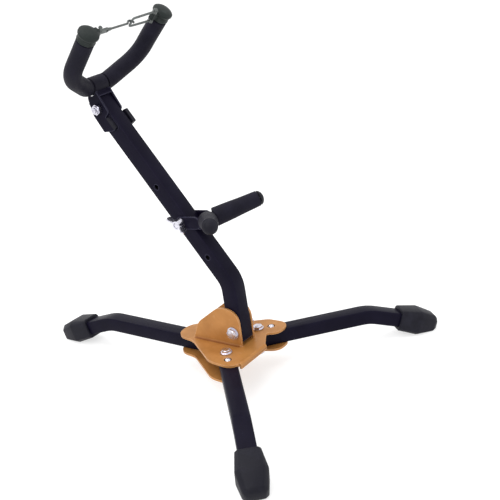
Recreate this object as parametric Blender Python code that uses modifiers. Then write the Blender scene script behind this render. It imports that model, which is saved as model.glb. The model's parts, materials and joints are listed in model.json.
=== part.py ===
"""Folding saxophone stand: a three-legged hub, a leaning square upright, a swinging lower
support fork and a padded yoke with a wire keeper.

Frame: +Z up, the stand is symmetric about X = 0, the instrument stands on the -Y side and the
floor is Z = 0. Everything is built from the point where the three leg lines meet, and the last
step moves it along Y so that the origin is the middle of the floor area the stand covers.
Lengths below are millimetres; every mesh and curve is built in metres through MM.
"""

import math

import bmesh
import bpy
from mathutils import Matrix, Vector

MM = 0.001
GAP = 0.3                      # clearance kept between touching pieces
MIDDLE_Y = 37.01               # middle of the covered floor, from the hub's middle

# hub
PLATE = 2.5                    # sheet thickness of both hub plates
TOP_Z = 46.8                   # upper face of the top plate
BOTTOM_Z = 25.7                # upper face of the bottom plate
EAR_IN, EAR_OUT = 10.6, 13.1   # faces of the two upright ears, from the middle plane
EAR_BOLT = (-27.5, 62.5)       # Y, Z of the bolt the upright turns on

# legs
LEG_W, LEG_H, LEG_Z = 20.0, 17.6, 35.0
LEG_WALL = 1.6
LEG_PIVOT_R = 43.5             # leg bolt, from the hub's middle
LEG_INNER_R = 30.0
REAR_INNER_R = 3.0
LEG_BUTTON_R = 60.0
LEG_BEND_R, REAR_BEND_R = 181.0, 171.0
LEG_SLOPE = 19.5
LEG_END = 74.0                 # tube's end, outward from its bend
LEG_SPREAD = 48.6              # each front leg, from -Y

# upright
TUBE = 20.0
TUBE_WALL = 1.5
UPRIGHT_LEAN = 52.17           # upper length, from the floor
UPRIGHT_FOOT = (-22.3, 124.6)  # Y, Z of t = 0 on the upper length's centre line
UPRIGHT_BEND_T = -3.9
UPRIGHT_BEND_RADIUS = 32.0
UPRIGHT_TOP_T = 254.0
UPRIGHT_END_Z = 51.6
HOLES_T = (33.5, 82.7, 131.9)  # height positions for the fork bolt

# lower support fork
FORK_T = 82.7
FORK_DROP = 32.0               # side plates point this far below the tube's normal
FORK_LINK = 30.5               # bolt to the V's root
FORK_WIDTH = 14.6
FORK_V_RISE = 13.9             # the V's plane, above the side plates' line
FORK_ROD_R = 4.0
FORK_SLEEVE_R = (11.3, 8.9)
FORK_PRONG = 62.7
FORK_HALF_ANGLE = (45.0, 50.6)

# yoke
YOKE_BOLT = (242.5, 1.0)       # t, n of the bolt the yoke turns on
YOKE_BASE = (268.15, 8.53)     # t, n of the middle of the yoke's rod
YOKE_RISE = 130.88             # direction of the arms in the YZ plane, from +Y
YOKE_ROD_R = 4.5
YOKE_FOAM_R = 10.35
YOKE_PAD_HALF = 12.2
YOKE_SLEEVE_END = 84.0         # along the arm, where the end cap starts
YOKE_CAP_LEN = 13.5
KEEPER_P = 91.0                # along the arm, level of the keeper wire
KEEPER_LEFT_X, KEEPER_RIGHT_X = -45.6, 46.0


# ---------------------------------------------------------------- scene and collections

for old in list(bpy.data.objects):
    bpy.data.objects.remove(old, do_unlink=True)

stand = bpy.data.collections.new("saxophone_stand")
cutters = bpy.data.collections.new("cutters")
bpy.context.scene.collection.children.link(stand)
bpy.context.scene.collection.children.link(cutters)


def material(name, colour, roughness, metallic=0.0):
    made = bpy.data.materials.new(name)
    made.use_nodes = True
    shader = made.node_tree.nodes["Principled BSDF"]
    shader.inputs["Base Color"].default_value = (*colour, 1.0)
    shader.inputs["Roughness"].default_value = roughness
    shader.inputs["Metallic"].default_value = metallic
    return made


BLACK_PAINT = material("black_paint", (0.018, 0.017, 0.026), 0.34)
GOLD_PAINT = material("gold_paint", (0.58, 0.27, 0.055), 0.36, 0.35)
CHROME = material("chrome", (0.72, 0.73, 0.76), 0.18, 1.0)
FOAM = material("black_foam", (0.022, 0.021, 0.03), 0.72)
RUBBER = material("black_rubber", (0.016, 0.016, 0.02), 0.6)
GREY_RUBBER = material("grey_rubber", (0.075, 0.085, 0.082), 0.5)
DARK_STEEL = material("dark_steel", (0.22, 0.24, 0.24), 0.35, 0.9)
PLASTIC = material("black_plastic", (0.02, 0.02, 0.026), 0.42)


# ---------------------------------------------------------------- shape helpers

def mesh_object(name, bm):
    """Object from a bmesh with its doubles merged and its faces pointing out."""
    bmesh.ops.remove_doubles(bm, verts=bm.verts, dist=2e-6)
    bmesh.ops.recalc_face_normals(bm, faces=bm.faces)
    mesh = bpy.data.meshes.new(name)
    bm.to_mesh(mesh)
    bm.free()
    made = bpy.data.objects.new(name, mesh)
    stand.objects.link(made)
    return made


def baked(source):
    """Replaces a curve or a mesh with modifiers by its evaluated mesh, as one closed body."""
    bpy.context.view_layer.update()
    mesh = bpy.data.meshes.new_from_object(
        source.evaluated_get(bpy.context.evaluated_depsgraph_get()))
    bm = bmesh.new()
    bm.from_mesh(mesh)
    name = source.name
    data = source.data
    bpy.data.objects.remove(source, do_unlink=True)
    bpy.data.meshes.remove(mesh)
    if isinstance(data, bpy.types.Curve):
        bpy.data.curves.remove(data)
    return mesh_object(name, bm)


def moved(obj, matrix):
    """Moves the mesh itself; translations inside the matrix are millimetres."""
    shift = matrix.copy()
    shift.translation = shift.translation * MM
    obj.data.transform(shift)
    return obj


def box(name, low, high):
    bm = bmesh.new()
    bmesh.ops.create_cube(bm, size=1.0)
    low, high = Vector(low) * MM, Vector(high) * MM
    size = high - low
    bmesh.ops.transform(bm, verts=bm.verts, matrix=Matrix.Translation((low + high) / 2)
                        @ Matrix.Diagonal((*size, 1.0)))
    return mesh_object(name, bm)


def cone(name, start, end, r1, r2=None, sides=16, turn=0.11):
    """A cylinder or cone from start to end, with `sides` sides."""
    start, end = Vector(start), Vector(end)
    line = end - start
    bm = bmesh.new()
    bmesh.ops.create_cone(bm, cap_ends=True, segments=sides, radius1=r1 * MM,
                          radius2=(r1 if r2 is None else r2) * MM, depth=line.length * MM)
    spin = line.to_track_quat("Z", "Y").to_matrix().to_4x4()
    place = Matrix.Translation((start + end) / 2 * MM) @ spin @ Matrix.Rotation(turn, 4, "Z")
    bmesh.ops.transform(bm, verts=bm.verts, matrix=place)
    return mesh_object(name, bm)


def turned(name, profile, start=(0, 0, 0), axis=(0, 0, 1), steps=20):
    """A lathe shape: (radius, height) pairs run from the top axis point down the outside."""
    mesh = bpy.data.meshes.new(name)
    mesh.from_pydata([(r * MM, 0, z * MM) for r, z in profile],
                     [(i, i + 1) for i in range(len(profile) - 1)], [])
    made = bpy.data.objects.new(name, mesh)
    stand.objects.link(made)
    screw = made.modifiers.new("turn", "SCREW")
    screw.steps = screw.render_steps = steps
    screw.use_merge_vertices = True
    screw.merge_threshold = 1e-6
    made = baked(made)
    spin = Vector(axis).to_track_quat("Z", "Y").to_matrix().to_4x4()
    return moved(made, Matrix.Translation(Vector(start)) @ spin)


def rounded(corners, per_arc=3):
    """Outline with filleted corners: each corner is (x, y, radius)."""
    out = []
    for i, (x, y, radius) in enumerate(corners):
        here = Vector((x, y))
        before = (Vector(corners[i - 1][:2]) - here).normalized()
        after = (Vector(corners[(i + 1) % len(corners)][:2]) - here).normalized()
        if radius <= 0:
            out.append((x, y))
            continue
        half = math.acos(max(-1.0, min(1.0, before.dot(after)))) / 2
        reach = radius / math.tan(half)
        middle = here + (before + after).normalized() * (radius / math.sin(half))
        a, b = here + before * reach - middle, here + after * reach - middle
        turn = math.atan2(a.x * b.y - a.y * b.x, a.dot(b))
        for k in range(per_arc + 1):
            angle = turn * k / per_arc
            out.append(tuple(middle + Matrix.Rotation(angle, 2) @ a))
    return out


def curve_object(name, points, cyclic=False, dims="3D"):
    data = bpy.data.curves.new(name, "CURVE")
    data.dimensions = dims
    spline = data.splines.new("POLY")
    spline.points.add(len(points) - 1)
    for slot, point in zip(spline.points, points):
        point = tuple(point) + (0.0,) * (3 - len(point))
        slot.co = (*(c * MM for c in point), 1.0)
    spline.use_cyclic_u = cyclic
    made = bpy.data.objects.new(name, data)
    stand.objects.link(made)
    return made


def sheet(name, outline, thickness, matrix=None):
    """Flat outline in local XY, `thickness` thick and centred on its plane, then moved."""
    flat = curve_object(name, outline, cyclic=True, dims="2D")
    flat.data.fill_mode = "BOTH"
    flat.data.extrude = thickness / 2 * MM
    solid = baked(flat)
    return moved(solid, matrix) if matrix else solid


def rod(name, path, radius, sides_level=2, radii=None, cyclic=False):
    """Round bar along a path; `radii` scales the radius point by point."""
    wire = curve_object(name, path, cyclic=cyclic)
    wire.data.bevel_depth = radius * MM
    wire.data.bevel_resolution = sides_level
    wire.data.use_fill_caps = not cyclic
    for slot, scale in zip(wire.data.splines[0].points, radii or ()):
        slot.radius = scale
    return baked(wire)


def square_bar(name, path, width, height, corner):
    """Rectangular bar with round edges along a path that stays in the local YZ plane."""
    w, h = width / 2, height / 2
    section = curve_object(name + "_section", rounded(
        [(-w, -h, corner), (w, -h, corner), (w, h, corner), (-w, h, corner)], 3),
        cyclic=True, dims="2D")
    wire = curve_object(name, path)
    wire.data.twist_mode = "Z_UP"
    wire.data.bevel_mode = "OBJECT"
    wire.data.bevel_object = section
    wire.data.use_fill_caps = True
    solid = baked(wire)
    bpy.data.objects.remove(section, do_unlink=True)
    return solid


def combine(obj, other, operation):
    """Live Boolean: the other object becomes a hidden helper."""
    step = obj.modifiers.new(operation.lower() + "_" + other.name, "BOOLEAN")
    step.operation = operation
    step.solver = "EXACT"
    step.object = other
    stand.objects.unlink(other)
    cutters.objects.link(other)
    other.hide_render = True
    other.display_type = "WIRE"
    return obj


def cut(obj, *others):
    for other in others:
        combine(obj, other, "DIFFERENCE")
    return obj


def add(obj, *others):
    for other in others:
        combine(obj, other, "UNION")
    return obj


def soften(obj, width, segments=1, angle=40):
    step = obj.modifiers.new("edges", "BEVEL")
    step.width = width * MM
    step.segments = segments
    step.limit_method = "ANGLE"
    step.angle_limit = math.radians(angle)
    return obj


def hinge_frame(name, matrix, parent=None):
    """Empty on a joint's axis; pieces that move with the joint are its children."""
    empty = bpy.data.objects.new(name, None)
    stand.objects.link(empty)
    place = matrix.copy()
    place.translation = place.translation * MM
    if parent:
        empty.parent = parent
    empty.matrix_world = place
    bpy.context.view_layer.update()
    return empty


def finish(obj, frame, look, stand_coordinates=False):
    """Makes the sub-part and its helpers children of their frame, and gives it its material.

    A mesh that was built in stand coordinates is first turned into the frame's own.
    """
    for thing in [obj] + [m.object for m in obj.modifiers if m.type == "BOOLEAN"]:
        if stand_coordinates:
            thing.data.transform(frame.matrix_world.inverted())
        thing.parent = frame
    obj.data.materials.append(look)
    obj.data.shade_smooth()
    obj.data.set_sharp_from_angle(angle=math.radians(35))
    return obj


def arc_between(start, heading, total, radius, steps=7):
    """Points of an arc in 2D that starts at `start` with direction angle `heading`."""
    points, side = [], math.copysign(1, total)
    middle = Vector(start) + radius * side * Vector((-math.sin(heading), math.cos(heading)))
    for k in range(1, steps + 1):
        a = heading + total * k / steps
        points.append(middle - radius * side * Vector((-math.sin(a), math.cos(a))))
    return points


# ---------------------------------------------------------------- frames of the moving groups

def along(angle):
    return Vector((0.0, math.cos(angle), math.sin(angle)))


lean = math.radians(UPRIGHT_LEAN)
U = along(lean)                                   # up the upright's upper length
N = along(lean + math.pi / 2)                     # its front normal
FOOT = Vector((0.0, *UPRIGHT_FOOT))


def on_upright(t, n, x=0.0):
    return FOOT + U * t + N * n + Vector((x, 0, 0))


def basis(x, y, z, origin):
    return Matrix.Translation(origin) @ Matrix((x, y, z)).transposed().to_4x4()


X = Vector((1.0, 0.0, 0.0))
base = hinge_frame("base", Matrix.Identity(4))
upright = hinge_frame("upright_hinge", Matrix.Translation((0, *EAR_BOLT)))
fork_drop = lean + math.pi / 2 + math.radians(FORK_DROP)
FORK_E = along(fork_drop)                         # from the fork bolt to the V's root
fork = hinge_frame("fork_hinge", basis(X, FORK_E, X.cross(FORK_E), on_upright(FORK_T, 0)),
                   upright)
yoke_up = along(math.radians(YOKE_RISE))
yoke = hinge_frame("yoke_hinge", Matrix.Translation(on_upright(*YOKE_BOLT)), upright)


# ---------------------------------------------------------------- hub plates

def hub_outline(front):
    """One big sheet with three lobes; `front` holds its corners from the left lobe's tip on."""
    return rounded([
        (-17.5, 55.5, 17.3), (-21.5, 27.0, 26), (-56.0, -21.0, 30), *front,
        (31.5, -57.0, 13.5), (61.2, -57.0, 13.5), (59.5, -27.0, 14), (21.5, 27.0, 26),
        (17.5, 55.5, 17.3)], 5)


# the top plate's front edge is straight and steps back; the bottom plate is cut away behind it
TOP_FRONT = ((-59.5, -57.3, 12.5), (5.0, -57.3, 1.5), (27.5, -44.0, 3.0))
BOTTOM_FRONT = ((-59.5, -57.3, 7.0), (-49.0, -57.3, 3.0), (-23.5, -34.5, 8.0), (22.0, -34.5, 8.0))


spread = math.radians(LEG_SPREAD)
left_way = Vector((-math.sin(spread), -math.cos(spread), 0))
right_way = Vector((math.sin(spread), -math.cos(spread), 0))
rear_fasteners = (24.0, 11.0)         # between the ears


def ear(side):
    """Upstanding ear that holds one side of the upright."""
    outline = rounded([(31.0, TOP_Z - 1.2, 0), (22.5, 67.5, 22), (-9.0, 91.6, 24),
                       (-36.6, 90.6, 16), (-37.6, TOP_Z - 1.2, 0)], 5)
    turn = basis(Vector((0, 1, 0)), Vector((0, 0, 1)), X,
                 Vector((side * (EAR_IN + EAR_OUT) / 2, 0, 0)))
    return sheet("ear", outline, EAR_OUT - EAR_IN, turn)


def ear_bend(side):
    """Outer fillet along the ear's fold."""
    r = 2.6
    fillet = [(EAR_OUT - 0.4, TOP_Z - 0.4), (EAR_OUT + r, TOP_Z - 0.4), (EAR_OUT + r, TOP_Z + 0.05)]
    fillet += [(EAR_OUT + r - r * math.sin(a), TOP_Z + r - r * math.cos(a) + 0.05)
               for a in (0.4, 0.8, 1.2, 1.5708)]
    fillet += [(EAR_OUT - 0.4, TOP_Z + r + 0.05)]
    turn = basis(X * side, Vector((0, 0, 1)), Vector((0, -side, 0)), Vector((0, -3.2, 0)))
    return sheet("ear_bend", fillet, 66.0, turn)


def plate_holes(z):
    holes = [cone("hole", (*(way * LEG_PIVOT_R).xy, z - 9), (*(way * LEG_PIVOT_R).xy, z + 9), 4.3)
             for way in (left_way, right_way)]
    holes += [cone("hole", (0, y, z - 9), (0, y, z + 9), 3.3, sides=12) for y in rear_fasteners]
    return holes


top_plate = sheet("hub_top_plate", hub_outline(TOP_FRONT), PLATE,
                  Matrix.Translation((0, 0, TOP_Z - PLATE / 2)))
lip = rounded([(-52.8, TOP_Z, 0), (-59.8, TOP_Z, 2.4), (-59.8, 42.6, 0), (-59.1, 42.3, 0),
               (-59.1, 41.8, 0), (-59.8, 41.5, 0), (-59.8, 40.2, 0), (-57.4, 40.2, 0),
               (-57.4, TOP_Z - PLATE, 0.6), (-52.8, TOP_Z - PLATE, 0)], 4)
lip = sheet("front_lip", lip, 51.0,
            basis(Vector((0, 1, 0)), Vector((0, 0, 1)), X, Vector((-22.0, 0, 0))))
add(top_plate, lip, ear(-1), ear(1), ear_bend(-1), ear_bend(1))
cut(top_plate, *plate_holes(TOP_Z),
    *[cone("button_hole", (*(way * LEG_BUTTON_R).xy, TOP_Z - 9),
           (*(way * LEG_BUTTON_R).xy, TOP_Z + 9), 4.8) for way in (left_way, right_way)],
    cone("ear_hole", (-30, *EAR_BOLT), (30, *EAR_BOLT), 4.2))
finish(top_plate, base, GOLD_PAINT)

bottom_plate = sheet("hub_bottom_plate", hub_outline(BOTTOM_FRONT), PLATE,
                     Matrix.Translation((0, 0, BOTTOM_Z - PLATE / 2)))
finish(cut(bottom_plate, *plate_holes(BOTTOM_Z)), base, GOLD_PAINT)


# ---------------------------------------------------------------- fasteners

def hex_bolt(name, start, way, length, shank, flats, head):
    """Hex head bolt; `start` is under the head and `way` points along the shank."""
    start, way = Vector(start), Vector(way).normalized()
    corner = flats / math.sqrt(3)
    body = cone(name, start, start - way * head, corner, corner * 0.98, 6, 0.35)
    parts = [cone("shank", start - way * 0.5, start + way * length, shank, sides=12),
             cone("flange", start, start - way * 1.2, corner + 1.0, sides=16),
             cone("crown", start - way * (head - 0.4), start - way * (head + 0.6), corner * 0.8,
                  corner * 0.66, sides=12)]
    return add(body, *parts)


def lock_nut(name, start, way, bore, flats, height):
    """Hex nut with a round collar at its far end."""
    start, way = Vector(start), Vector(way).normalized()
    corner = flats / math.sqrt(3)
    body = cone(name, start, start + way * height * 0.7, corner, sides=6)
    add(body, cone("collar", start + way, start + way * height, corner * 0.84, corner * 0.76, 12))
    return cut(body, cone("bore", start - way * 5, start + way * (height + 5), bore, sides=12))


for side, way in (("left", left_way), ("right", right_way)):
    spot = (way * LEG_PIVOT_R).xy
    finish(hex_bolt(side + "_leg_bolt", (*spot, TOP_Z + GAP), (0, 0, -1), 32.5, 3.9, 10.6, 3.6),
           base, CHROME)
    finish(lock_nut(side + "_leg_nut", (*spot, BOTTOM_Z - PLATE - GAP), (0, 0, -1), 4.2, 12.5, 7),
           base, CHROME)
for label, y in zip(("rear_leg_bolt", "rear_leg_rivet"), rear_fasteners):
    finish(hex_bolt(label, (0, y, TOP_Z + GAP), (0, 0, -1), 30.5, 3.0, 8.6, 2.2), base, CHROME)
    finish(lock_nut(label.replace("bolt", "nut").replace("rivet", "nut_inner"),
                    (0, y, BOTTOM_Z - PLATE - GAP), (0, 0, -1), 3.3, 9.5, 5), base, CHROME)

finish(hex_bolt("upright_bolt", (-EAR_OUT - GAP, *EAR_BOLT), (1, 0, 0), 36.5, 3.9, 11.6, 4.4),
       base, CHROME)
finish(lock_nut("upright_nut", (EAR_OUT + GAP, *EAR_BOLT), (1, 0, 0), 4.2, 12.5, 7.5), base,
       CHROME)


# ---------------------------------------------------------------- legs and feet

def leg_path(start, bend_r, grow=0.0):
    """Centre line along local +Y from the pivot: level, bent down at bend_r, then straight."""
    slope = math.radians(LEG_SLOPE)
    bend_radius = 55.0
    bend, end = leg_run(bend_r), leg_run(bend_r) + LEG_END
    reach = bend_radius * math.tan(slope / 2)
    path = [Vector((start - grow, 0)), Vector((start + 20, 0)), Vector((bend - reach, 0))]
    path += arc_between(path[-1], 0.0, -slope, bend_radius, 4)
    last = (end + grow - bend) / math.cos(slope)
    path.append(Vector((bend, 0)) + last * Vector((math.cos(slope), -math.sin(slope))))
    return [(0, p.x, p.y) for p in path]


def foot_points(bend_r):
    """Corner points of the foot along the leg's sloped end: it swells, then is chamfered."""
    slope = math.radians(LEG_SLOPE)
    axis = Vector((0, math.cos(slope), -math.sin(slope)))
    up = Vector((0, math.sin(slope), math.cos(slope)))
    points = []
    for out, half_w, half_h, cut_w in ((37.0, 13.4, 12.6, 3.0), (61.0, 17.0, 15.2, 5.0),
                                       (80.5, 13.2, 11.4, 5.0), (84.6, 9.6, 8.0, 4.0)):
        middle = Vector((0, leg_run(bend_r), 0)) + axis * out / math.cos(slope)
        for sx in (-1, 1):
            for sz in (-1, 1):
                for dx, dz in ((0, cut_w), (cut_w, 0)):
                    point = middle + Vector((sx * (half_w - dx), 0, 0)) + up * sz * (half_h - dz)
                    point.z = max(point.z, -LEG_Z)
                    points.append(point)
    return points


def foot(name, bend_r):
    bm = bmesh.new()
    for point in foot_points(bend_r):
        bm.verts.new(point * MM)
    hull = bmesh.ops.convex_hull(bm, input=bm.verts)
    loose = {g for g in hull["geom_interior"] + hull["geom_unused"]
             if isinstance(g, bmesh.types.BMVert)}
    bmesh.ops.delete(bm, geom=list(loose), context="VERTS")
    bmesh.ops.dissolve_limit(bm, angle_limit=0.03, verts=bm.verts, edges=bm.edges)
    body = soften(mesh_object(name, bm), 1.4, 1, 12)
    socket = leg_path(leg_run(LEG_BUTTON_R), bend_r, 0.4)
    return cut(body, square_bar("socket", socket, LEG_W + 0.7, LEG_H + 0.7, 2.8))


def leg_run(radius):
    """Distance from the leg's pivot, for a distance from the hub's middle."""
    return radius - LEG_PIVOT_R


for side, heading in (("left", math.pi - spread), ("right", math.pi + spread), ("rear", 0.0)):
    place = Matrix.Rotation(heading, 4, "Z") @ Matrix.Translation((0, LEG_PIVOT_R, LEG_Z))
    frame = hinge_frame(side + "_leg_hinge", place)
    start = leg_run(REAR_INNER_R if side == "rear" else LEG_INNER_R)
    bend_r = REAR_BEND_R if side == "rear" else LEG_BEND_R
    tube = square_bar(side + "_leg", leg_path(start, bend_r), LEG_W, LEG_H, 2.2)
    hollow = square_bar("hollow", leg_path(start, bend_r, 6.0), LEG_W - 2 * LEG_WALL,
                        LEG_H - 2 * LEG_WALL, 1.0)
    cut(tube, hollow)
    if side == "rear":
        cut(tube, *[cone("hole", (0, leg_run(y), -20), (0, leg_run(y), 20), 3.3, sides=14)
                    for y in rear_fasteners])
    else:
        cut(tube, cone("pivot_hole", (0, 0, -20), (0, 0, 20), 4.2),
            cone("button_hole", (0, leg_run(LEG_BUTTON_R), 0), (0, leg_run(LEG_BUTTON_R), 20), 4.2))
        button = turned(side + "_leg_button", [(0, 13.4), (1.8, 13.0), (3.1, 11.9), (3.7, 10.4),
                                               (3.7, 6.0), (0, 6.0)],
                        (0, leg_run(LEG_BUTTON_R), 0), steps=24)
        strip = [(leg_run(LEG_BUTTON_R) - 6.0, 6.4), (leg_run(LEG_BUTTON_R) + 7.0, 6.4)]
        strip += [(leg_run(LEG_BUTTON_R) + 32.0, -5.4), (leg_run(LEG_BUTTON_R) + 26.0, -6.4),
                  (leg_run(LEG_BUTTON_R) - 2.0, -6.4), (leg_run(LEG_BUTTON_R) - 2.0, -5.6),
                  (leg_run(LEG_BUTTON_R) + 26.0, -5.6), (leg_run(LEG_BUTTON_R) + 28.5, -4.9),
                  (leg_run(LEG_BUTTON_R) + 7.0, 5.6), (leg_run(LEG_BUTTON_R) - 6.0, 5.6)]
        leaf = sheet("leaf_spring", strip, 7.0, basis(Vector((0, 1, 0)), Vector((0, 0, 1)), X,
                                                      Vector((0, 0, 0))))
        finish(add(button, leaf), frame, CHROME)
    finish(tube, frame, BLACK_PAINT)
    finish(foot(side + "_foot", bend_r), frame, RUBBER)


# ---------------------------------------------------------------- upright

lower_top = FOOT + U * UPRIGHT_BEND_T
lower_axis = (lower_top - Vector((0, *EAR_BOLT))).normalized()
lower_angle = math.atan2(lower_axis.z, lower_axis.y)


def upright_path(extra=0.0):
    """Centre line: nearly plumb past the ear bolt, one bend, then the long leaning length."""
    end = Vector((0, *EAR_BOLT)) - lower_axis * (EAR_BOLT[1] - UPRIGHT_END_Z + extra)
    turn = lean - lower_angle
    reach = UPRIGHT_BEND_RADIUS * math.tan(abs(turn) / 2)
    bend_start = lower_top - lower_axis * reach
    points = [end, bend_start]
    points += [Vector((0, p.x, p.y)) for p in arc_between(
        (bend_start.y, bend_start.z), lower_angle, turn, UPRIGHT_BEND_RADIUS, 5)]
    points.append(on_upright(UPRIGHT_TOP_T + extra, 0))
    return points


tube = square_bar("upright_tube", upright_path(), TUBE, TUBE, 1.9)
inside = TUBE - 2 * TUBE_WALL
cut(tube, square_bar("hollow", upright_path(6.0), inside, inside, 1.0))
cut(tube, *[cone("hole", on_upright(t, 0, -20), on_upright(t, 0, 20), 3.2, sides=14)
            for t in HOLES_T])
cut(tube, cone("ear_hole", (-20, *EAR_BOLT), (20, *EAR_BOLT), 4.2),
    cone("yoke_hole", on_upright(*YOKE_BOLT, -20), on_upright(*YOKE_BOLT, 20), 3.2, sides=14))
upright_matrix = basis(X, -N, U, FOOT)
bar_slot = rounded([(-7.6, 211.0, 2.2), (-2.8, 211.0, 2.2), (-2.8, 228.0, 2.2),
                    (-7.6, 228.0, 2.2)], 4)
across = upright_matrix @ basis(Vector((0, 1, 0)), Vector((0, 0, 1)), X, Vector((0, 0, 0)))
cut(tube, sheet("bar_slot", bar_slot, 50.0, across))
finish(tube, upright, BLACK_PAINT, True)


def tube_plug(name, end, way):
    """Push-in plug: a rounded square head and a body inside the tube."""
    head = box(name, (-9.6, -9.6, GAP), (9.6, 9.6, 2.6))
    soften(head, 1.2, 2)
    add(head, box("body", (-8.1, -8.1, -8.0), (8.1, 8.1, 1.0)))
    cut(head, box("inside", (-6.0, -6.0, -12.0), (6.0, 6.0, -1.0)))
    for thing in [head] + [m.object for m in head.modifiers if m.type == "BOOLEAN"]:
        moved(thing, basis(X, way.cross(X), way, end))
    return finish(head, upright, PLASTIC, True)


tube_plug("upright_top_plug", on_upright(UPRIGHT_TOP_T, 0), U)

stop = rounded([(-7.3, 211.3, 2.0), (-3.1, 211.3, 2.0), (-3.1, 227.7, 2.0), (-7.3, 227.7, 2.0)], 4)
bar = sheet("yoke_stop_bar", stop, 28.0, across)
head = rounded([(-10.2, 210.4, 1.2), (-1.6, 210.4, 1.2), (-1.6, 228.6, 1.2),
                (-10.2, 228.6, 1.2)], 2)
add(bar, sheet("bar_head", head, 5.0, across @ Matrix.Translation((0, 0, 15.6))))
finish(bar, upright, PLASTIC, True)

finish(hex_bolt("fork_bolt", on_upright(FORK_T, 0, 12.9), (-1, 0, 0), 33.5, 2.9, 10.0, 3.6),
       upright, CHROME, True)
finish(hex_bolt("yoke_bolt", on_upright(*YOKE_BOLT, 12.6), (-1, 0, 0), 33.0, 2.9, 10.0, 3.6),
       upright, CHROME, True)
finish(lock_nut("yoke_nut", on_upright(*YOKE_BOLT, -12.6), (-1, 0, 0), 3.2, 11.0, 6.5), upright,
       CHROME, True)


# ---------------------------------------------------------------- wing nut

nut_frame = hinge_frame("wing_nut_hinge", Matrix.Translation(on_upright(FORK_T, 0)), upright)
wing_way = (-0.953 * U + 0.303 * N).normalized()
hub_start = on_upright(FORK_T, 0, -12.7)
wing_nut = cone("fork_wing_nut", hub_start, hub_start - X * 8.5, 6.4, 5.2, 28)
for way in (-1, 1):
    blade = rounded([(3.0, 1.5, 0), (13.2, 3.2, 2.5), (14.0, 10.6, 2.6), (9.6, 11.4, 2.4),
                     (3.0, 6.8, 0)], 4)
    place = basis(wing_way * way, -X, (wing_way * way).cross(-X), hub_start)
    add(wing_nut, sheet("wing", blade, 2.3, place))
cut(wing_nut, cone("bore", hub_start + X * 6, hub_start - X * 16, 3.2, sides=14))
finish(wing_nut, nut_frame, CHROME, True)


# ---------------------------------------------------------------- lower support fork
# fork frame: X across, Y from the bolt to the V's root, Z downwards

half = FORK_WIDTH / 2


def fork_side(side):
    link = rounded([(-half, -half, half - 0.05), (27.2, -half, half - 0.05),
                    (27.2, half, half - 0.05), (-half, half, half - 0.05)], 8)
    turn = basis(Vector((0, 1, 0)), Vector((0, 0, 1)), X, Vector((side * 11.3, 0, 0)))
    return sheet("link", link, 2.0, turn)


bracket = box("fork_bracket", (-11.9, 17.3, 4.5), (11.9, 28.6, half - 0.2))
add(bracket, fork_side(-1), fork_side(1))
cut(bracket, cone("bolt_hole", (-20, 0, 0), (20, 0, 0), 3.3, sides=18))
finish(bracket, fork, BLACK_PAINT)

rise = math.radians(FORK_V_RISE)
V_AXIS = Vector((0, math.cos(rise), -math.sin(rise)))
ROOT = Vector((0, FORK_LINK, 0))


def prong(side, start, end, count):
    """Centre line of one prong, opening a little more towards its tip."""
    a0, a1 = (math.radians(a) for a in FORK_HALF_ANGLE)
    points, spot, steps = [], Vector((2.1, 0)), 40
    for k in range(steps + 1):
        s = FORK_PRONG * k / steps
        points.append((s, spot.copy()))
        a = a0 + (a1 - a0) * s / FORK_PRONG
        spot = spot + Vector((math.sin(a), math.cos(a))) * FORK_PRONG / steps
    out = []
    for k in range(count):
        s = start + (end - start) * k / (count - 1)
        i = min(int(s / FORK_PRONG * steps), steps - 1)
        f = (s - points[i][0]) / (FORK_PRONG / steps)
        flat = points[i][1].lerp(points[i + 1][1], f)
        out.append(ROOT + X * side * flat.x + V_AXIS * flat.y)
    return out


rod_path = list(reversed(prong(-1, 4.5, 59.5, 7))) + [ROOT + V_AXIS * 0.9] + prong(1, 4.5, 59.5, 7)
finish(rod("fork_rod", rod_path, FORK_ROD_R), fork, BLACK_PAINT)
for side, sx in (("left", -1), ("right", 1)):
    path = prong(sx, 5.4, 61.0, 8)
    r0, r1 = FORK_SLEEVE_R
    radii = [(r0 + (r1 - r0) * k / 7) / r0 for k in range(8)]
    sleeve = rod("fork_sleeve_" + side, path, r0, 3, radii)
    cut(sleeve, rod("bore", prong(sx, 2.0, 62.5, 8), FORK_ROD_R + GAP, 2),
        box("mitre", (min(sx * 0.2, -40.0 * sx), 10.0, -30.0),
            (max(sx * 0.2, -40.0 * sx), 60.0, 30.0)))
    finish(sleeve, fork, FOAM)
    tip, before = prong(sx, 61.0, 62.0, 2)
    way = (before - tip).normalized()
    cap = turned("fork_cap_" + side, [(0, 5.2), (2.6, 5.0), (5.2, 4.0), (7.4, 2.4), (8.7, 0.3),
                                      (0, 0.3)], tip, way, 18)
    finish(cap, fork, RUBBER)


# ---------------------------------------------------------------- yoke bracket

def bracket_side(side):
    """Side plate in upright (t, n) terms; its lower front edge rests on the stop bar."""
    outline = [(219.0, -12.7, 1.5), (241.0, -11.2, 8), (251.0, -7.0, 6), (259.5, -3.0, 8),
               (266.0, 5.0, 3), (266.0, 13.6, 1), (257.5, 13.2, 1), (232.4, 10.4, 1.5),
               (230.6, 8.6, 1), (229.9, 2.6, 1), (211.4, 2.6, 1), (213.0, -2.0, 1)]
    turn = upright_matrix @ basis(Vector((0, 0, 1)), Vector((0, -1, 0)), X,
                                  Vector((side * 11.3, 0, 0)))
    return sheet("side", rounded(outline, 4), 2.0, turn)


def web_outline():
    """Front web in (t, n), leaning forward and ending on the yoke's rod."""
    return [(252.2, 10.9), (252.2, 13.0), (258.0, 13.4), (263.4, 11.6), (263.4, 6.0),
            (260.6, 6.0), (258.4, 10.9)]


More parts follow.
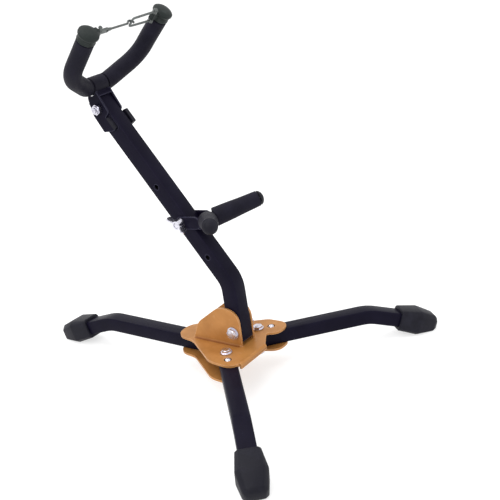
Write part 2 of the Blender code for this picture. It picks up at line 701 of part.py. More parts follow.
web_turn = upright_matrix @ basis(Vector((0, 0, 1)), Vector((0, -1, 0)), X, Vector((0, 0, 0)))
yoke_bracket = sheet("yoke_bracket", web_outline(), 23.0, web_turn)
add(yoke_bracket, bracket_side(-1), bracket_side(1))
pad_start = on_upright(*YOKE_BASE, -40)
cut(yoke_bracket, cone("bolt_hole", on_upright(*YOKE_BOLT, -20), on_upright(*YOKE_BOLT, 20), 3.3),
    cone("rod_room", on_upright(*YOKE_BASE, -9.8), on_upright(*YOKE_BASE, 9.8), YOKE_ROD_R + GAP))
for sx in (-1, 1):
    cut(yoke_bracket, cone("pad_room", on_upright(*YOKE_BASE, sx * 9.4),
                           on_upright(*YOKE_BASE, sx * 30), YOKE_FOAM_R + 0.5, sides=24))
finish(yoke_bracket, yoke, BLACK_PAINT, True)


# ---------------------------------------------------------------- yoke rod, foam and caps
# arm frame: X across, Y the yoke plane's normal, Z along the arms

arm = hinge_frame("yoke_arms", basis(X, yoke_up.cross(X), yoke_up, on_upright(*YOKE_BASE)), yoke)


def yoke_point(s):
    """Half of the yoke's centre line by arc length: level, a ramp, a bend and the arm."""
    pieces = ((13.0, 0.0), (9.0, 36.0), (26.0, 0.0), (34.0, 50.0), (80.0, 0.0))
    x = z = travelled = 0.0
    heading = 0.0
    for length, turn in pieces:
        run = min(length, s - travelled)
        steps = 8 if turn else 1
        for k in range(steps):
            a = heading + math.radians(turn) * (run / length) * (k + 0.5) / steps
            x += math.cos(a) * run / steps
            z += math.sin(a) * run / steps
        heading += math.radians(turn) * run / length
        travelled += run
        if s <= travelled + 1e-9:
            break
    return Vector((x, 0, z)), heading


def yoke_length(height):
    """Arc length at which the arm reaches a height above the yoke's base."""
    low, high = 40.0, 160.0
    for _ in range(40):
        middle = (low + high) / 2
        low, high = (middle, high) if yoke_point(middle)[0].z < height else (low, middle)
    return low


def yoke_half(sx, start, end, step):
    count = max(2, round((end - start) / step) + 1)
    points = [yoke_point(start + (end - start) * k / (count - 1))[0] for k in range(count)]
    return [Vector((sx * p.x, p.y, p.z)) for p in points]


arm_end = yoke_length(YOKE_SLEEVE_END)
rod_end = arm_end + 8.0
whole = list(reversed(yoke_half(-1, 0.0, rod_end, 8.0))) + yoke_half(1, 0.0, rod_end, 8.0)[1:]
finish(rod("yoke_rod", whole, YOKE_ROD_R), arm, BLACK_PAINT)
bore_path = list(reversed(yoke_half(-1, 0.0, rod_end + 6, 8.0))) + yoke_half(1, 0.0, rod_end + 6,
                                                                          8.0)[1:]
for side, sx in (("left", -1), ("right", 1)):
    level = [Vector((sx * (YOKE_PAD_HALF + 0.4), 0, 0))]
    sleeve = rod("yoke_sleeve_" + side, level + yoke_half(sx, 13.0, arm_end - GAP, 6.5),
                 YOKE_FOAM_R, 4)
    finish(cut(sleeve, rod("bore", bore_path, YOKE_ROD_R + GAP)), arm, FOAM)
pad = cone("yoke_centre_pad", (-YOKE_PAD_HALF, 0, 0), (YOKE_PAD_HALF, 0, 0), YOKE_FOAM_R, sides=24)
soften(pad, 1.0, 1)
cut(pad, cone("bore", (-20, 0, 0), (20, 0, 0), YOKE_ROD_R + GAP, sides=14))
notch = sheet("web_room", rounded([(252.0, 5.3, 0), (252.0, 14.2, 0), (262.0, 14.2, 0),
                                   (266.0, 12.6, 0), (266.0, 5.3, 0)]), 19.6, web_turn)
notch.data.transform(arm.matrix_world.inverted())
finish(cut(pad, notch), arm, FOAM)

for side, sx in (("left", -1), ("right", 1)):
    tip, heading = yoke_point(arm_end)
    way = Vector((sx * math.cos(heading), 0, math.sin(heading)))
    start = Vector((sx * tip.x, 0, tip.z))
    cap = turned("yoke_cap_" + side, [
        (0, 13.4), (6.0, 13.2), (10.0, 12.3), (11.7, 10.9), (12.0, 9.2), (11.6, 7.8), (10.7, 6.9),
        (10.4, 4.0), (10.7, 0.8), (10.2, 0.0), (0, 0)], start, way, 22)
    cut(cap, cone("rod_socket", start - way * 3, start + way * 8.6, YOKE_ROD_R + GAP, sides=14))
    cap_middle = start + way * 7.0
    if side == "left":
        for level in (-4.6, 4.6):
            add(cap, box("lug", (KEEPER_LEFT_X - 3.6, -2.9, KEEPER_P + level - 1.5),
                         (cap_middle.x + 5.1, 2.9, KEEPER_P + level + 1.5)))
        cut(cap, cone("pin_hole", (KEEPER_LEFT_X, 0, KEEPER_P - 12),
                      (KEEPER_LEFT_X, 0, KEEPER_P + 12), 1.6, sides=16))
    else:
        add(cap, box("lug", (KEEPER_RIGHT_X - 3.0, -2.9, KEEPER_P - 3.8),
                     (cap_middle.x - 5.1, 2.9, KEEPER_P + 3.8)))
        cut(cap, cone("pin_hole", (KEEPER_RIGHT_X, 0, KEEPER_P - 12),
                      (KEEPER_RIGHT_X, 0, KEEPER_P + 12), 1.6, sides=16))
    finish(cap, arm, GREY_RUBBER)


# ---------------------------------------------------------------- keeper across the yoke

for side, x, reach in (("left", KEEPER_LEFT_X, 6.9), ("right", KEEPER_RIGHT_X, 8.9)):
    pin = cone("keeper_pin_" + side, (x, 0, KEEPER_P - reach), (x, 0, KEEPER_P + reach), 1.3,
               sides=16)
    add(pin, cone("pin_head", (x, 0, KEEPER_P + reach - 0.4), (x, 0, KEEPER_P + reach + 1.0), 2.4,
                  2.0, 20))
    finish(pin, arm, DARK_STEEL)

BAR_X = 8.0
rod_frame = hinge_frame("keeper_rod_hinge", arm.matrix_world.copy() @ Matrix.Identity(4), arm)
rod_frame.matrix_world = arm.matrix_world @ Matrix.Translation(
    Vector((KEEPER_LEFT_X, 0, KEEPER_P)) * MM)
loop_frame = hinge_frame("keeper_loop_hinge", arm.matrix_world.copy(), arm)
loop_frame.matrix_world = arm.matrix_world @ Matrix.Translation(
    Vector((KEEPER_RIGHT_X, 0, KEEPER_P)) * MM)
bpy.context.view_layer.update()

to_bar = BAR_X - KEEPER_LEFT_X
keeper = cone("keeper_rod", (0, 0, -2.8), (0, 0, 2.8), 3.3, sides=18)
add(keeper, box("paddle", (1.5, -1.5, -2.4), (15.0, 1.5, 2.4)),
    cone("ferrule", (13.0, 0, 0), (20.0, 0, 0), 2.3, 1.7, 20),
    rod("wire", [(16.0, 0, 0), (to_bar - 6.0, 0, 0), (to_bar - 4.6, 0.7, 0),
                 (to_bar - 3.0, 2.2, 0), (to_bar - 1.2, 3.0, 0), (to_bar + 1.0, 3.0, 0),
                 (to_bar + 2.7, 2.2, 0), (to_bar + 3.7, 0.7, 0), (to_bar + 3.9, -1.4, 0)],
        1.25, 3))
cut(keeper, cone("pin_hole", (0, 0, -8), (0, 0, 8), 1.6, sides=16))
finish(keeper, rod_frame, DARK_STEEL)

from_pin = BAR_X - KEEPER_RIGHT_X
wire_path = [(0.0, 0, 6.4), (-5.0, 0, 6.4), (from_pin + 2.6, 0, 5.6), (from_pin + 0.7, 0, 4.9),
             (from_pin, 0, 3.0), (from_pin, 0, -3.0), (from_pin + 0.7, 0, -4.9),
             (from_pin + 2.6, 0, -5.6), (-5.0, 0, -6.4), (0.0, 0, -6.4)]
loop = rod("keeper_loop", wire_path, 1.3, 3)
add(loop, cone("eye", (0, 0, 4.3), (0, 0, 8.4), 2.9, sides=18),
    cone("eye", (0, 0, -8.4), (0, 0, -4.3), 2.9, sides=18))
cut(loop, cone("pin_hole", (0, 0, -14), (0, 0, 14), 1.6, sides=16))
finish(loop, loop_frame, DARK_STEEL)


# ---------------------------------------------------------------- origin

for thing in list(stand.objects) + list(cutters.objects):
    if thing.parent is None:
        thing.location.y -= MIDDLE_Y * MM
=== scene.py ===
"""Folding saxophone stand: satin black tubes on a gold hub, foam sleeves and plated fasteners."""
import json
import math

import bpy
import numpy as np
from mathutils import Matrix, Vector


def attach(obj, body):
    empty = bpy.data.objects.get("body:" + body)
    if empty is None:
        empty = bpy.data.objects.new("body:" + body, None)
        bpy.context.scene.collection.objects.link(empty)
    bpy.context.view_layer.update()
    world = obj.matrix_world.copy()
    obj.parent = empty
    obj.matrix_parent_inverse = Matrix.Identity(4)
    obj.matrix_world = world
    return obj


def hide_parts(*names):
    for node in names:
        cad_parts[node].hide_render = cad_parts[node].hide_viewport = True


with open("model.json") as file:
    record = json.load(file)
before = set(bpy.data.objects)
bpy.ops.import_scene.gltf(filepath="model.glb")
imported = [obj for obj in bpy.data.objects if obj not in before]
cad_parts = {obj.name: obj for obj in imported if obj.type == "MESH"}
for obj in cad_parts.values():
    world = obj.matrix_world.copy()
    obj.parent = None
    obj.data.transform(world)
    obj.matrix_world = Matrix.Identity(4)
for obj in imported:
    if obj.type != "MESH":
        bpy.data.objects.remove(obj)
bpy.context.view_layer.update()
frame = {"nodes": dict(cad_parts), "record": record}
nodes = frame["nodes"]
MM = 0.001


# ------------------------------------------------------------------ shader sockets as numbers

class Signal:
    """A shader socket that Python's operators act on; each operation adds one Math node."""

    def __init__(self, paint, socket):
        self.paint, self.socket = paint, socket

    def _math(self, kind, *values):
        return self.paint.node("ShaderNodeMath", {"operation": kind}, dict(enumerate(values)))

    def __add__(self, other):
        return self._math("ADD", self, other)

    __radd__ = __add__

    def __sub__(self, other):
        return self._math("SUBTRACT", self, other)

    def __rsub__(self, other):
        return self._math("SUBTRACT", other, self)

    def __mul__(self, other):
        return self._math("MULTIPLY", self, other)

    __rmul__ = __mul__

    def size(self):
        """The value without its sign."""
        return self._math("ABSOLUTE", self)

    def clip(self):
        """The value held between 0 and 1."""
        return self._math("MINIMUM", self._math("MAXIMUM", self, 0.0), 1.0)

    def over(self, low, high):
        """0 below low, 1 above high, and a straight ramp between them."""
        return ((self - low) * (1.0 / (high - low))).clip()


class Paint:
    """One material: nodes are added by type, and its Principled shader is set at the end."""

    def __init__(self, name):
        self.made = bpy.data.materials.new(name)
        self.made.use_nodes = True
        self.tree = self.made.node_tree
        self.shader = self.tree.nodes["Principled BSDF"]
        self.place = self.node("ShaderNodeTexCoord", {}, {}, "Object")

    def node(self, kind, settings, inputs, out=0):
        """Adds a node: its settings come first, then the value or link of each input socket."""
        made = self.tree.nodes.new(kind)
        for key, value in settings.items():
            setattr(made, key, value)
        for key, value in inputs.items():
            self.feed(made.inputs[key], value)
        return Signal(self, made.outputs[out])

    def feed(self, socket, value):
        """Links the socket to a Signal, or sets its plain value."""
        if isinstance(value, Signal):
            self.tree.links.new(value.socket, socket)
        else:
            socket.default_value = value

    def noise(self, scale, detail=2.0, rough=0.5, where=None):
        """Cloudy noise from 0 to 1, over Object coordinates unless it is given others."""
        return self.node("ShaderNodeTexNoise", {}, {
            "Vector": where or self.place, "Scale": scale, "Detail": detail, "Roughness": rough})

    def cells(self, scale, feature="F1"):
        """Distance to the nearest of many scattered points."""
        return self.node("ShaderNodeTexVoronoi", {"feature": feature},
                         {"Vector": self.place, "Scale": scale})

    def blend(self, amount, a, b):
        """Colour a where amount is 0, colour b where it is 1."""
        return self.node("ShaderNodeMix", {"data_type": "RGBA"},
                         {0: amount, 6: (*a, 1.0) if isinstance(a, tuple) else a,
                          7: (*b, 1.0) if isinstance(b, tuple) else b}, 2)

    def stretched(self, scale):
        """Object coordinates scaled axis by axis."""
        return self.node("ShaderNodeMapping", {}, {"Vector": self.place, "Scale": scale})

    def edges(self, radius, low, high):
        """Rises from 0 to 1 where the surface turns within the radius: one minus the dot product
        of the rounded normal and the plain one, spread over low to high."""
        rounded = self.node("ShaderNodeBevel", {"samples": 6}, {"Radius": radius})
        plain = self.node("ShaderNodeNewGeometry", {}, {}, "Normal")
        dot = self.node("ShaderNodeVectorMath", {"operation": "DOT_PRODUCT"},
                        {0: rounded, 1: plain}, "Value")
        return (1.0 - dot).over(low, high)

    def axes(self):
        """Object coordinates as three numbers."""
        split = self.node("ShaderNodeSeparateXYZ", {}, {"Vector": self.place})
        return [Signal(self, out) for out in split.socket.node.outputs]

    def bump(self, height, distance, strength=1.0, under=None):
        """A normal tilted by the height's slope, on top of the one under it if there is one."""
        inputs = {"Height": height, "Distance": distance, "Strength": strength}
        if under:
            inputs["Normal"] = under
        return self.node("ShaderNodeBump", {}, inputs)

    def done(self, varying, fixed):
        """Feeds the Principled shader: sockets that vary over the surface, then fixed ones."""
        for key, value in {**varying, **fixed}.items():
            self.feed(self.shader.inputs[key], value)
        return self.made


# ------------------------------------------------------------------ finishes

def black_powder_coat():
    """Satin blue-black coat: fine orange peel, faint clouding, small rubbed specks and a painted
    highlight, a paler line where the tubes' and brackets' edges turn."""
    p = Paint("black_powder_coat")
    cloud = p.noise(38.0, 3.0, 0.55)
    peel = p.noise(1500.0, 1.5, 0.5)
    rub = p.noise(210.0, 4.0, 0.6).over(0.66, 0.74) * p.noise(24.0, 2.0).over(0.52, 0.66)
    colour = p.blend(cloud.over(0.3, 0.7), (0.0036, 0.0028, 0.0090), (0.0060, 0.0050, 0.0140))
    colour = p.blend(rub * 0.5, colour, (0.02, 0.019, 0.03))
    # painted highlight: the turning edges are painted paler, as if their rounding caught the light
    edge = p.edges(0.0022, 0.01, 0.12)
    colour = p.blend(edge * 0.6, colour, (0.056, 0.054, 0.086))
    rough = 0.33 + cloud * 0.12 + rub * 0.16
    return p.done({"Base Color": colour, "Roughness": rough,
                   "Normal": p.bump(peel, 0.00006, 0.5, p.bump(cloud, 0.0004, 0.15))},
                  {"Specular IOR Level": 0.06})


# the painted shade along the fold of the hub's two ears, in metres: the fold's distance from the
# middle plane and the shade's half width, the ears' middle, where the shade starts to fade and
# ends, and the heights it lies between
EAR_FOLD_X, EAR_FOLD_HALF_WIDTH = 0.0148, 0.0022
EAR_MIDDLE_Y, EAR_SHADE_FADES, EAR_SHADE_ENDS = -0.0402, 0.0305, 0.0335
PLATE_TOP, FOLD_TOP = (0.0458, 0.0464), (0.0488, 0.0506)


def ear_fold_shade(p):
    """Painted shade: a dark line where each ear folds up out of the top plate, a tent over the
    distance from the fold, level along y as far as the ears reach, and only between the plate and
    the fold's top."""
    x, y, z = p.axes()
    across = 1.0 - (x.size() - EAR_FOLD_X).size() * (1.0 / EAR_FOLD_HALF_WIDTH)
    along = 1.0 - (y - EAR_MIDDLE_Y).size().over(EAR_SHADE_FADES, EAR_SHADE_ENDS)
    fold_shade = across.clip() * along * z.over(*PLATE_TOP) * (1.0 - z.over(*FOLD_TOP))
    return (fold_shade * 1.3).clip()


def gold_coat():
    """Orange-gold satin coat on steel: slightly mottled, paler where it is rubbed, with a painted
    highlight along its edges and painted shade in the ears' folds."""
    p = Paint("gold_coat")
    cloud = p.noise(55.0, 3.0, 0.5)
    fine = p.noise(900.0, 2.0, 0.6)
    rub = p.noise(140.0, 5.0, 0.65).over(0.6, 0.72)
    colour = p.blend(cloud.over(0.3, 0.7), (0.345, 0.146, 0.034), (0.44, 0.198, 0.055))
    colour = p.blend(rub * 0.3, colour, (0.57, 0.34, 0.17))
    # painted highlight: paler along the edges, as if their rounding caught the light
    colour = p.blend(p.edges(0.0012, 0.03, 0.25) * 0.6, colour, (0.74, 0.47, 0.29))
    # painted shade darkens the ears' folds
    colour = p.blend(ear_fold_shade(p) * 0.85, colour, (0.17, 0.050, 0.008))
    rough = 0.3 + cloud * 0.14 + fine * 0.08
    return p.done({"Base Color": colour, "Roughness": rough, "Metallic": 0.2 + rub * 0.2,
                   "Normal": p.bump(fine, 0.00008, 0.6)}, {"Specular IOR Level": 0.28})


def plated_steel():
    """Bright plating: fine turning lines, a little grey tarnish in patches."""
    p = Paint("plated_steel")
    lines = p.noise(1.0, 2.0, 0.5, p.stretched((160.0, 2600.0, 2600.0)))
    stain = p.noise(260.0, 4.0, 0.6).over(0.5, 0.75)
    colour = p.blend(stain, (0.66, 0.65, 0.72), (0.36, 0.35, 0.41))
    return p.done({"Base Color": colour, "Roughness": 0.14 + stain * 0.2 + lines * 0.1,
                   "Metallic": 1.0, "Normal": p.bump(lines, 0.00003, 0.4)}, {})


def foam_skin():
    """Closed-cell foam sleeve: matt skin, fine pores with painted shade in them, soft dents, a
    dusty bloom.
    """
    p = Paint("foam_skin")
    pores = p.cells(1400.0)
    grain = p.noise(2300.0, 2.0, 0.6)
    dents = p.noise(120.0, 3.0, 0.5)
    bloom = p.noise(45.0, 4.0, 0.6).over(0.45, 0.75)
    colour = p.blend(bloom, (0.0056, 0.0050, 0.0112), (0.0115, 0.0105, 0.0205))
    # painted shade: each pore's pit, the low point of the bump, is darkened
    colour = p.blend(pores.over(0.0, 0.35) * 0.5 + 0.5, (0.0032, 0.003, 0.0055), colour)
    height = pores * 0.6 + grain * 0.4
    return p.done({"Base Color": colour, "Roughness": 0.58 + bloom * 0.14,
                   "Normal": p.bump(height, 0.00022, 0.7, p.bump(dents, 0.0009, 0.35))},
                  {"Sheen Weight": 0.01, "Sheen Roughness": 0.6, "Specular IOR Level": 0.10})


def moulded_rubber(name, dark, light, gloss):
    """Moulded rubber: fine tooled grain, faint flow marks and dust in patches."""
    p = Paint(name)
    grain = p.cells(1100.0, "SMOOTH_F1")
    dust = p.noise(60.0, 5.0, 0.65).over(0.5, 0.78)
    flow = p.noise(18.0, 2.0)
    colour = p.blend(dust, dark, light)
    return p.done({"Base Color": colour, "Roughness": gloss + dust * 0.18 + flow * 0.06,
                   "Normal": p.bump(grain, 0.00016, 0.6, p.bump(flow, 0.001, 0.12))},
                  {"Specular IOR Level": 0.16})


def dark_wire():
    """Dark plated wire: drawn lines along it and small rust-free dull spots."""
    p = Paint("dark_wire")
    spots = p.noise(420.0, 3.0, 0.6).over(0.5, 0.72)
    colour = p.blend(spots, (0.115, 0.125, 0.122), (0.05, 0.056, 0.056))
    return p.done({"Base Color": colour, "Roughness": 0.3 + spots * 0.25, "Metallic": 0.8,
                   "Normal": p.bump(p.noise(1800.0), 0.00004, 0.5)}, {})


BLACK = black_powder_coat()
GOLD = gold_coat()
CHROME = plated_steel()
FOAM = foam_skin()
RUBBER = moulded_rubber("foot_rubber", (0.0048, 0.0046, 0.0095), (0.0125, 0.0122, 0.0205), 0.46)
CAP_RUBBER = moulded_rubber("cap_rubber", (0.0125, 0.0165, 0.0158), (0.038, 0.045, 0.043), 0.42)
PLASTIC = moulded_rubber("black_nylon", (0.0048, 0.0044, 0.0095), (0.013, 0.0125, 0.021), 0.4)
WIRE = dark_wire()

FINISH = {"black_paint": BLACK, "gold_paint": GOLD, "chrome": CHROME, "black_foam": FOAM,
          "black_rubber": RUBBER, "grey_rubber": CAP_RUBBER, "dark_steel": WIRE,
          "black_plastic": PLASTIC}


WELD_GAP = 2e-6
SHARP_EDGE = math.radians(32)


def dress_cad_nodes():
    """Smooth shading over a welded surface, split again at every edge sharper than SHARP_EDGE."""
    slots = {s["node"]: s["material_slot"] for s in frame["record"]["subparts"]}
    for name, node in nodes.items():
        node.data.materials.clear()
        node.data.materials.append(FINISH[slots[name]])
        weld = node.modifiers.new("weld", "WELD")
        weld.merge_threshold = WELD_GAP
        split = node.modifiers.new("split", "EDGE_SPLIT")
        split.split_angle = SHARP_EDGE
        node.data.polygons.foreach_set("use_smooth", np.ones(len(node.data.polygons), bool))


dress_cad_nodes()


# ------------------------------------------------------------------ the stand's own lines
# lengths in millimetres, from the hub's middle; MIDDLE_Y moves them to the stand's origin

MIDDLE_Y = 37.01
LEAN = math.radians(52.17)
UP = np.array([0.0, math.cos(LEAN), math.sin(LEAN)])
FRONT = np.array([0.0, -math.sin(LEAN), math.cos(LEAN)])
ACROSS = np.array([1.0, 0.0, 0.0])
STRAIGHT_START = np.array([0.0, -22.3 - MIDDLE_Y, 124.6])


def on_upright(t, n):
    """Point t up the centre line of the upright's straight part and n in front of it."""
    return STRAIGHT_START + UP * t + FRONT * n


# the yoke: its plane, its middle, the runs and turns in degrees from the middle to an arm's
# end, and its foam, which stops short of the end cap by CAP_GAP
ARM_RISE = math.radians(130.88)
ARM = np.array([0.0, math.cos(ARM_RISE), math.sin(ARM_RISE)])
ARM_SIDE = np.cross(ARM, ACROSS)
YOKE_BASE = on_upright(268.15, 8.53)
YOKE_RUNS = [13.0, 9.0, 26.0, 34.0, 90.0]
YOKE_TURNS = [0.0, 36.0, 0.0, 50.0, 0.0]
YOKE_FOAM_TOP = 84.0
YOKE_FOAM_START, YOKE_FOAM_RADIUS = 12.7, 10.28
CAP_GAP = 0.3
YOKE_PAD_END, YOKE_PAD_RADIUS = 12.1, 10.2
FOLD_DEPTH, FOLD_PITCH = 0.30, 3.1


def yoke_line(s):
    """Yoke centre line at arc lengths s: the heading turns at a constant rate in two bends,
    and the place is the running integral of (cos heading, sin heading)."""
    fine = np.linspace(0.0, 165.0, 3301)
    ends = np.concatenate([[0.0], np.cumsum(YOKE_RUNS)])
    turned = np.concatenate([[0.0], np.cumsum(np.radians(YOKE_TURNS))])
    heading = np.interp(fine, ends, turned)
    step = fine[1] - fine[0]
    between = heading[:-1] + np.diff(heading) / 2
    x = np.concatenate([[0.0], np.cumsum(np.cos(between)) * step])
    z = np.concatenate([[0.0], np.cumsum(np.sin(between)) * step])
    return np.interp(s, fine, x), np.interp(s, fine, z), np.interp(s, fine, heading)


def yoke_reach(height):
    """Arc length at which the arm is that high above the yoke's base."""
    s = np.linspace(40.0, 160.0, 2401)
    return float(np.interp(height, yoke_line(s)[1], s))


# the lower support: the way its bracket stands out, the plane of its V, and its prongs' foam
FORK_RISE = LEAN + math.pi / 2 + math.radians(32.0)
FORK_OUT = np.array([0.0, math.cos(FORK_RISE), math.sin(FORK_RISE)])
FORK_SIDE = np.cross(ACROSS, FORK_OUT)
V_TILT = math.radians(13.9)
V_AXIS = FORK_OUT * math.cos(V_TILT) - FORK_SIDE * math.sin(V_TILT)
V_NORMAL = np.cross(ACROSS, V_AXIS)
V_ROOT = on_upright(82.7, 0.0) + FORK_OUT * 30.5
PRONG_ANGLE, PRONG_SPREAD, PRONG_LENGTH = 45.0, 5.6, 62.7
PRONG_ROOT_X = 2.1
PRONG_FOAM_START, PRONG_FOAM_END = 5.6, 60.9
PRONG_FOAM_WIDE, PRONG_FOAM_NARROW = 11.25, 8.85
MITRE_X = 0.22


def prong_line(s):
    """Prong centre line at arc lengths s: its angle off the V's axis starts at PRONG_ANGLE and
    grows evenly by PRONG_SPREAD, and the place is the running integral of its sine and cosine."""
    fine = np.linspace(0.0, 66.0, 1321)
    heading = np.radians(PRONG_ANGLE + PRONG_SPREAD * fine / PRONG_LENGTH)
    step = fine[1] - fine[0]
    x = PRONG_ROOT_X + np.concatenate([[0.0], np.cumsum(np.sin(heading[:-1])) * step])
    y = np.concatenate([[0.0], np.cumsum(np.cos(heading[:-1])) * step])
    return np.interp(s, fine, x), np.interp(s, fine, y), np.interp(s, fine, heading)


# ------------------------------------------------------------------ surfaces on a grid
# spacing along a tube, length of its rounded ends, and faces round it

GRID_STEP = 0.8
SLEEVE_LIP, PAD_LIP = 1.5, 1.6
YOKE_SIDES, PRONG_SIDES = 72, 64


def grid_piece(name, points, body, look):
    """Closed tube from an (along, around, 3) grid in millimetres; the ends run into poles.

    The signed volume, the sum of p . (q x r) over its triangles, says which way faces turn.
    """
    rows, cols = points.shape[:2]
    ids = np.arange(rows * cols).reshape(rows, cols)
    a, b = ids[:-1], ids[1:]
    quads = np.stack([a, np.roll(a, -1, 1), np.roll(b, -1, 1), b], -1).reshape(-1, 4)
    verts = np.concatenate([points.reshape(-1, 3), points[:1].mean(1), points[-1:].mean(1)])
    first, last = np.full(cols, rows * cols), np.full(cols, rows * cols + 1)
    caps = np.concatenate([np.stack([first, np.roll(ids[0], -1), ids[0]], -1),
                           np.stack([last, ids[-1], np.roll(ids[-1], -1)], -1)])
    corners = verts[np.concatenate([quads[:, :3], quads[:, [0, 2, 3]], caps])]
    if np.einsum("ij,ij->", corners[:, 0], np.cross(corners[:, 1], corners[:, 2])) < 0:
        quads, caps = quads[:, ::-1], caps[:, ::-1]
    mesh = bpy.data.meshes.new(name)
    mesh.from_pydata((verts * MM).tolist(), [], quads.tolist() + caps.tolist())
    mesh.polygons.foreach_set("use_smooth", np.ones(len(mesh.polygons), bool))
    made = bpy.data.objects.new(name, mesh)
    bpy.context.scene.collection.objects.link(made)
    made.data.materials.append(look)
    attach(made, body)
    return made


def swept(centre, radius, normal_1, normal_2, around):
    """centre + radius (cos a normal_1 + sin a normal_2), over arc length and the angle a."""
    a = np.linspace(0.0, 2 * np.pi, around, endpoint=False)[None, :, None]
    return (centre[:, None, :] + radius[..., None]
            * (np.cos(a) * normal_1[:, None, :] + np.sin(a) * normal_2[:, None, :]))


def rounded_ends(s, start, end, radius, lip):
    """Tube radius along s: a quarter-ellipse as long as the lip at each end, from 0.42 of the
    radius at the very end up to all of it."""
    near = np.minimum(s - start, end - s)
    edge = np.clip(near / lip, 0.0, 1.0)
    return radius * (0.42 + 0.58 * np.sqrt(1 - (1 - edge) ** 2))


def stations(start, end, step, lip):
    """Arc lengths that crowd together in the two rounded ends."""
    ends = lip * (1 - np.cos(np.linspace(0.0, np.pi / 2, 9)))
    middle = np.linspace(start + lip, end - lip, max(3, int((end - start - 2 * lip) / step)))
    return np.concatenate([start + ends[:-1], middle, (end - ends[:-1])[::-1]])


def yoke_sleeve(side, start, end):
    """Foam tube round half of the yoke: an even radius, less a cosine row of shallow folds on the
    inside of each bend, as deep as the line's curvature there, and an unevenness of a tenth."""
    s = stations(start, end, GRID_STEP, SLEEVE_LIP)
    x, z, heading = yoke_line(s)
    bend = np.gradient(heading, s)
    centre = YOKE_BASE + np.outer(side * x, ACROSS) + np.outer(z, ARM)
    inward = np.outer(-side * np.sin(heading), ACROSS) + np.outer(np.cos(heading), ARM)
    flat = np.repeat(ARM_SIDE[None], len(s), 0)
    a = np.linspace(0.0, 2 * np.pi, YOKE_SIDES, endpoint=False)[None, :]
    tube = rounded_ends(s, start, end, YOKE_FOAM_RADIUS, SLEEVE_LIP)[:, None] * np.ones_like(a)
    inner = np.clip(np.cos(a), 0.0, 1.0) ** 2
    tightness = np.clip(bend * 22.0, 0.0, 1.0)[:, None]
    row = 0.5 + 0.5 * np.cos(2 * np.pi * s / FOLD_PITCH)
    folds = FOLD_DEPTH * row[:, None] * inner * tightness
    slow = 0.10 * np.sin(s / 7.3 + 1.3 * side)[:, None] * np.cos(a - 0.7)
    return swept(centre, tube - folds - 0.10 + slow, inward, flat, YOKE_SIDES)


def centre_pad():
    """Foam collar over the yoke's middle: a straight tube with rounded ends, its radius less
    a cosine of twice the angle, so that it is a little flatter on top."""
    s = stations(-YOKE_PAD_END, YOKE_PAD_END, GRID_STEP, PAD_LIP)
    centre = YOKE_BASE + np.outer(s, ACROSS)
    a = np.linspace(0.0, 2 * np.pi, YOKE_SIDES, endpoint=False)[None, :]
    flatter = 1.0 - 0.018 * np.cos(2 * a)
    ends = rounded_ends(s, -YOKE_PAD_END, YOKE_PAD_END, YOKE_PAD_RADIUS, PAD_LIP)
    up, flat = (np.repeat(v[None], len(s), 0) for v in (ARM, ARM_SIDE))
    return swept(centre, ends[:, None] * flatter, up, flat, YOKE_SIDES)


def fork_sleeve(side):
    """Foam tube on one prong of the support: its radius falls evenly along it, with a gentle
    sine wave, and it is flat where it meets the other one, because x is held to its own side."""
    start, end = PRONG_FOAM_START, PRONG_FOAM_END
    s = stations(start, end, GRID_STEP, SLEEVE_LIP)
    x, y, heading = prong_line(s)
    centre = V_ROOT + np.outer(side * x, ACROSS) + np.outer(y, V_AXIS)
    inward = np.outer(-side * np.cos(heading), ACROSS) + np.outer(np.sin(heading), V_AXIS)
    flat = np.repeat(V_NORMAL[None], len(s), 0)
    taper = PRONG_FOAM_WIDE + (PRONG_FOAM_NARROW - PRONG_FOAM_WIDE) * (s - start) / (end - start)
    a = np.linspace(0.0, 2 * np.pi, PRONG_SIDES, endpoint=False)[None, :]
    wave = 0.08 * np.sin(s / 5.1)[:, None] * np.cos(2 * a + 0.4)
    tube = (rounded_ends(s, start, end, 1.0, SLEEVE_LIP) * taper)[:, None] - 0.06 + wave
    points = swept(centre, tube, inward, flat, PRONG_SIDES)
    points[..., 0] = side * np.maximum(side * points[..., 0], MITRE_X)
    return points


arm_end = yoke_reach(YOKE_FOAM_TOP) - CAP_GAP
for word, side in (("left", -1), ("right", 1)):
    piece = grid_piece("yoke_foam_" + word, yoke_sleeve(side, YOKE_FOAM_START, arm_end), "yoke",
                       FOAM)
    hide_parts("yoke_sleeve_" + word)
    piece = grid_piece("support_foam_" + word, fork_sleeve(side), "fork", FOAM)
    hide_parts("fork_sleeve_" + word)
pad = grid_piece("yoke_foam_centre", centre_pad(), "yoke", FOAM)
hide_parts("yoke_centre_pad")


# ------------------------------------------------------------------ floor, light and camera

FLOOR_HALF, FLOOR_DROP = 14.0, 0.0002
FLOOR_GLOW = 0.62
SKY = 1.06
LAMP_AIM = Vector((0, 0, 0.2))
# name, place in metres, side of the square in metres, power in watts
LAMPS = (("left_softbox", (-1.5, -0.15, 1.25), 1.1, 12.0),
         ("top_softbox", (-0.1, 0.15, 1.9), 1.6, 14.0),
         ("front_fill", (0.7, -1.7, 0.8), 1.2, 3.0),
         ("back_strip", (0.3, 1.6, 1.1), 1.0, 6.0))


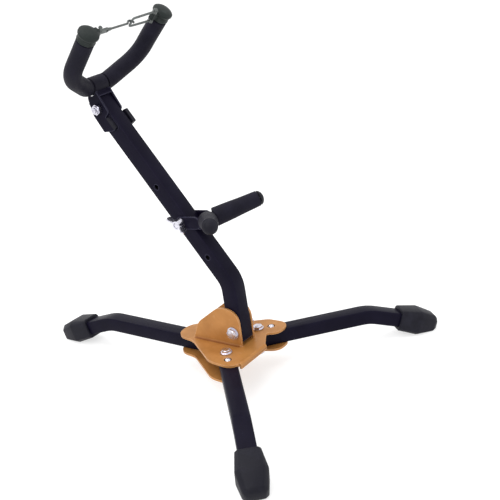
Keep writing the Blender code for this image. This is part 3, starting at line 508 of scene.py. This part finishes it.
def pale_floor():
    """Large square floor just under the feet, pale and slightly glowing."""
    p = Paint("pale_floor")
    tone = p.noise(3.0, 3.0)
    look = p.done({"Base Color": p.blend(tone, (0.43, 0.43, 0.43), (0.45, 0.45, 0.45)),
                   "Roughness": 0.8 + tone * 0.1},
                  {"Specular IOR Level": 0.1, "Emission Color": (1.0, 1.0, 1.0, 1.0),
                   "Emission Strength": FLOOR_GLOW})
    mesh = bpy.data.meshes.new("floor")
    corner = np.array([[-1, -1, 0], [1, -1, 0], [1, 1, 0], [-1, 1, 0]]) * FLOOR_HALF
    mesh.from_pydata((corner - [0, 0, FLOOR_DROP]).tolist(), [], [(0, 1, 2, 3)])
    floor = bpy.data.objects.new("floor", mesh)
    floor.data.materials.append(look)
    bpy.context.scene.collection.objects.link(floor)


def softboxes():
    """Square area lights that face the middle of the stand, and an even white sky."""
    for name, place, size, power in LAMPS:
        light = bpy.data.lights.new(name, "AREA")
        light.shape, light.size, light.energy = "SQUARE", size, power
        lamp = bpy.data.objects.new(name, light)
        lamp.location = place
        lamp.rotation_euler = (LAMP_AIM - lamp.location).to_track_quat("-Z", "Y").to_euler()
        bpy.context.scene.collection.objects.link(lamp)
    world = bpy.data.worlds.new("studio")
    world.use_nodes = True
    sky = world.node_tree.nodes["Background"].inputs
    sky["Color"].default_value = (1.0, 1.0, 1.0, 1.0)
    sky["Strength"].default_value = SKY
    bpy.context.scene.world = world


pale_floor()
softboxes()
bpy.context.scene.view_settings.view_transform = "Standard"

# the camera's place in metres, and the directions of its right, its top and its back
CAMERA_PLACE = (-0.83408, -0.66906 - MIDDLE_Y * MM, 0.57628)
CAMERA_AXES = ((0.55524, -0.82490, -0.10607),
               (0.36365, 0.12610, 0.92296),
               (-0.74797, -0.55104, 0.36999))
camera = bpy.data.objects.new("camera", bpy.data.cameras.new("camera"))
camera.data.sensor_width = 36.0
camera.data.lens = 73.02
camera.data.clip_start, camera.data.clip_end = 0.05, 60.0
camera.matrix_world = (Matrix.Translation(CAMERA_PLACE)
                       @ Matrix(CAMERA_AXES).transposed().to_4x4())
bpy.context.scene.collection.objects.link(camera)
bpy.context.scene.camera = camera
